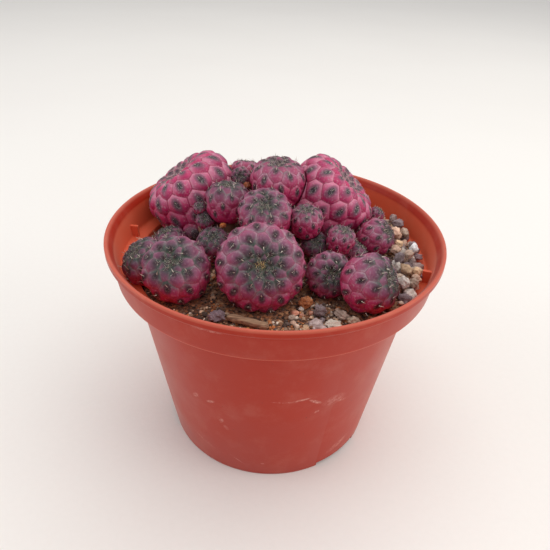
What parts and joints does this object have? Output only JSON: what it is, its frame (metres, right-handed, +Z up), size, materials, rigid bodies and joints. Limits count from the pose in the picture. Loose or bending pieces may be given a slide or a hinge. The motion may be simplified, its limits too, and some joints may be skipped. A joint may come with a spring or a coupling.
{
  "type": "potted clump-forming cactus",
  "caption": "Dense clump of small round purple cactus heads in gritty soil, standing in a round tapered plastic nursery pot with a wide collar.",
  "frame": {"origin": "middle of the pot's foot, on the surface that the pot stands on", "axes": "+Z up along the pot's axis; -Y towards the side that the picture shows, +X to its right"},
  "size_m": [0.12, 0.12, 0.1086],
  "materials": {
    "pot_plastic": "terracotta-coloured moulded plastic, satin",
    "gritty_soil": "dry brown grit and gravel, rough",
    "cactus_skin": "waxy purple cactus skin, satin",
    "bark": "weathered bark, rough",
    "stone_violet": "rough lava stone",
    "stone_orange": "rough burnt clay stone",
    "stone_lava": "rough lava stone",
    "stone_pale": "rough pumice",
    "stone_white": "rough pumice",
    "stone_beige": "rough pumice"
  },
  "bodies": {
    "root": {"pot": "pot_plastic", "soil": "gritty_soil", "head_front": "cactus_skin", "head_front_left": "cactus_skin", "head_front_middle_right": "cactus_skin", "head_front_right": "cactus_skin", "head_far_left": "cactus_skin", "head_right_of_middle": "cactus_skin", "head_small_right": "cactus_skin", "head_middle": "cactus_skin", "head_left_of_middle": "cactus_skin", "head_low_left": "cactus_skin", "head_low_middle": "cactus_skin", "head_low_right": "cactus_skin", "head_right": "cactus_skin", "head_left": "cactus_skin", "head_tiny_left": "cactus_skin", "head_bud_left": "cactus_skin", "head_tiny_low_left": "cactus_skin", "head_back_middle": "cactus_skin", "head_back_left": "cactus_skin", "head_back_right": "cactus_skin", "head_tiny_right": "cactus_skin", "head_small_back": "cactus_skin", "head_behind_small_back": "cactus_skin", "head_rear_middle": "cactus_skin", "head_rear_left": "cactus_skin", "head_rear_right": "cactus_skin", "stone_violet": "stone_violet", "stone_orange": "stone_orange", "stone_lava": "stone_lava", "stone_pale": "stone_pale", "stone_white": "stone_white", "stone_beige": "stone_beige", "bark_chip": "bark"}
  },
  "joints": []
}
